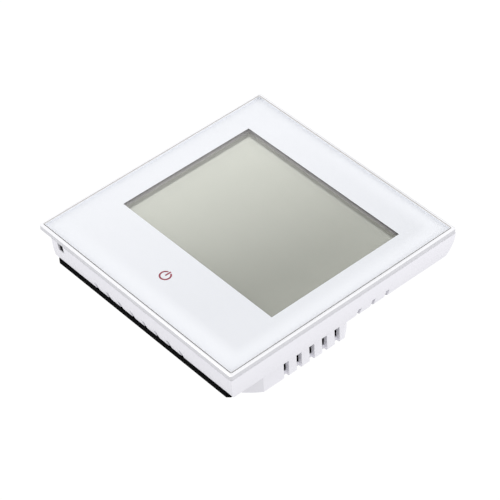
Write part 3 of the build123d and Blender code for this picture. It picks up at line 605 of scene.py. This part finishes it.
# Touch key symbol: a ring open at the top with a short bar, printed behind the glass
KEY_X, KEY_Z = -0.8, -31.3
RING_RADIUS, STROKE, RING_GAP, BAR = 1.74, 0.55, 20, 2.15
INK, ARC_STEPS = 0.01, 48
symbol = bmesh.new()
arc = [
    math.radians(90 + RING_GAP + (360 - 2 * RING_GAP) * i / ARC_STEPS) for i in range(ARC_STEPS + 1)
]
outer, inner = [
    [(KEY_X + radius * math.cos(a), KEY_Z + radius * math.sin(a)) for a in arc]
    for radius in (RING_RADIUS + STROKE / 2, RING_RADIUS - STROKE / 2)
]
flat_strip(symbol, outer + list(reversed(inner)), INK_FRONT, INK)
bar = [(-STROKE / 2, 0.0), (STROKE / 2, 0.0), (STROKE / 2, BAR), (-STROKE / 2, BAR)]
flat_strip(symbol, [(KEY_X + x, KEY_Z + z) for x, z in bar], INK_FRONT, INK)
new_piece("key_symbol", symbol, "panel", red_ink)

# Camera, solved from the edges of the face in the photograph
SENSOR, FOCAL_PIXELS, IMAGE_PIXELS = 36.0, 2408, 500
camera = bpy.data.objects.new("camera", bpy.data.cameras.new("camera"))
bpy.context.collection.objects.link(camera)
camera.data.sensor_width = SENSOR
camera.data.lens = FOCAL_PIXELS / IMAGE_PIXELS * SENSOR
right = Vector((0.65694, 0.04942, 0.75232))
down = Vector((0.49053, 0.72975, -0.47628))
ahead = Vector((-0.57254, 0.68193, 0.45516))
place = Vector((423.566, -507.959, -335.803)) * MM
camera.matrix_world = Matrix.Translation(place) @ Matrix((right, -down, -ahead)).transposed().to_4x4()
bpy.context.scene.camera = camera


def stage_sheet(name, corners, stuff):
    """Flat piece of the studio, which isn't part of the object."""
    mesh = bpy.data.meshes.new(name)
    mesh.from_pydata(corners, [], [(0, 1, 2, 3)])
    made = bpy.data.objects.new(name, mesh)
    bpy.context.collection.objects.link(made)
    made.data.materials.append(stuff)
    return made


# Pale floor well below the object, in metres as all of the studio is
FLOOR_Z, FLOOR_HALF, FLOOR_GLOW = -0.62, 3, 0.25
paper, tree, output, _ = start_material("paper_white")
matt = add(tree, "ShaderNodeBsdfDiffuse", {"Color": linear("F2F2F2")})
glow = add(tree, "ShaderNodeEmission", {"Color": (1, 1, 1, 1), "Strength": FLOOR_GLOW})
both = add(tree, "ShaderNodeAddShader", {0: matt.outputs["BSDF"], 1: glow.outputs["Emission"]})
lit = add(
    tree, "ShaderNodeMixShader",
    {0: seen_straight(tree), 1: matt.outputs["BSDF"], 2: both.outputs["Shader"]},
)
tree.links.new(lit.outputs["Shader"], output.inputs["Surface"])
stage_sheet(
    "floor",
    [
        (-FLOOR_HALF, -FLOOR_HALF, FLOOR_Z), (FLOOR_HALF, -FLOOR_HALF, FLOOR_Z),
        (FLOOR_HALF, FLOOR_HALF, FLOOR_Z), (-FLOOR_HALF, FLOOR_HALF, FLOOR_Z),
    ],
    paper,
)

# Cards seen only in reflections: a grey one behind for the sides of the trim, a graded one for the display
MIRRORED = 1.04
CARD_Y, CARD_HALF = 0.35, 1.2
grey_card, tree, output, _ = start_material("grey_card")
matt = add(tree, "ShaderNodeBsdfDiffuse", {"Color": linear("D8D8DA")})
tree.links.new(matt.outputs["BSDF"], output.inputs["Surface"])
card = stage_sheet(
    "grey_card",
    [
        (-CARD_HALF, CARD_Y, FLOOR_Z), (CARD_HALF, CARD_Y, FLOOR_Z),
        (CARD_HALF, CARD_Y, CARD_HALF), (-CARD_HALF, CARD_Y, CARD_HALF),
    ],
    grey_card,
)
# The graded card darkens along a line that leans, and its edges are feathered
FLAG_Y, FLAG_LEFT, FLAG_RIGHT, FLAG_LOW, FLAG_TOP = -0.12, -0.145, -0.041, 0.024, 0.122
FLAG_DARK, FLAG_LEAN, LEAN_FROM = 0.17, -0.3, 0.0239
DARK_FROM, DARK_TO, FEATHER = -0.134, -0.056, 0.005
graded_card, tree, output, spot = start_material("graded_card")
along = add(tree, "ShaderNodeSeparateXYZ", {"Vector": spot})
leaning = add(
    tree, "ShaderNodeMath", {0: along.outputs["Z"], 1: FLAG_LEAN, 2: LEAN_FROM}, operation="MULTIPLY_ADD"
)
across = add(
    tree, "ShaderNodeMath", {0: along.outputs["X"], 1: leaning.outputs["Value"]}, operation="ADD"
)
shade = add(
    tree, "ShaderNodeMapRange",
    {"Value": across.outputs["Value"], "From Min": DARK_FROM, "From Max": DARK_TO},
).outputs["Result"]
for axis, edge, inside in (
    ("X", FLAG_RIGHT, FLAG_RIGHT - FEATHER),
    ("Z", FLAG_LOW, FLAG_LOW + FEATHER),
    ("Z", FLAG_TOP, FLAG_TOP - FEATHER),
):
    soft = add(
        tree, "ShaderNodeMapRange", {"Value": along.outputs[axis], "From Min": edge, "From Max": inside}
    )
    shade = add(
        tree, "ShaderNodeMath", {0: shade, 1: soft.outputs["Result"]}, operation="MULTIPLY"
    ).outputs["Value"]
level = add(tree, "ShaderNodeMapRange", {"Value": shade, "To Min": MIRRORED, "To Max": FLAG_DARK})
glow = add(tree, "ShaderNodeEmission", {"Color": (1, 1, 1, 1), "Strength": level.outputs["Result"]})
tree.links.new(glow.outputs["Emission"], output.inputs["Surface"])
flag = stage_sheet(
    "flag",
    [
        (FLAG_LEFT, FLAG_Y, FLAG_LOW), (FLAG_RIGHT, FLAG_Y, FLAG_LOW),
        (FLAG_RIGHT, FLAG_Y, FLAG_TOP), (FLAG_LEFT, FLAG_Y, FLAG_TOP),
    ],
    graded_card,
)
for piece in (card, flag):
    piece.visible_camera = False
    piece.visible_diffuse = False
    piece.visible_shadow = False
card.visible_transmission = False

# White all round, at full strength for what the camera, metal and glass see
AROUND = 0.835
world = bpy.data.worlds.new("studio")
world.use_nodes = True
bpy.context.scene.world = world
tree = world.node_tree
tree.nodes.clear()
strength = add(
    tree, "ShaderNodeMapRange", {"Value": seen_straight(tree), "To Min": AROUND, "To Max": MIRRORED}
)
sky = add(
    tree, "ShaderNodeBackground", {"Color": (1, 1, 1, 1), "Strength": strength.outputs["Result"]}
)
ground = add(tree, "ShaderNodeOutputWorld")
tree.links.new(sky.outputs["Background"], ground.inputs["Surface"])

# Two soft lamps of one size
SOFTBOX = 0.5


def softbox(name, spot, watts):
    """Soft studio lamp that faces the object and shows in no mirror."""
    lamp = bpy.data.lights.new(name, "AREA")
    lamp.shape = "RECTANGLE"
    lamp.size = SOFTBOX
    lamp.size_y = SOFTBOX
    lamp.energy = watts
    made = bpy.data.objects.new(name, lamp)
    bpy.context.collection.objects.link(made)
    made.location = spot
    made.rotation_euler = (-Vector(spot)).to_track_quat("-Z", "Y").to_euler()
    made.visible_camera = False
    made.visible_glossy = False


softbox("right_softbox", (0.55, -0.35, 0.5), 1.9)
softbox("low_softbox", (-0.5, -0.35, -0.55), 2.0)

bpy.context.scene.view_settings.view_transform = "Standard"
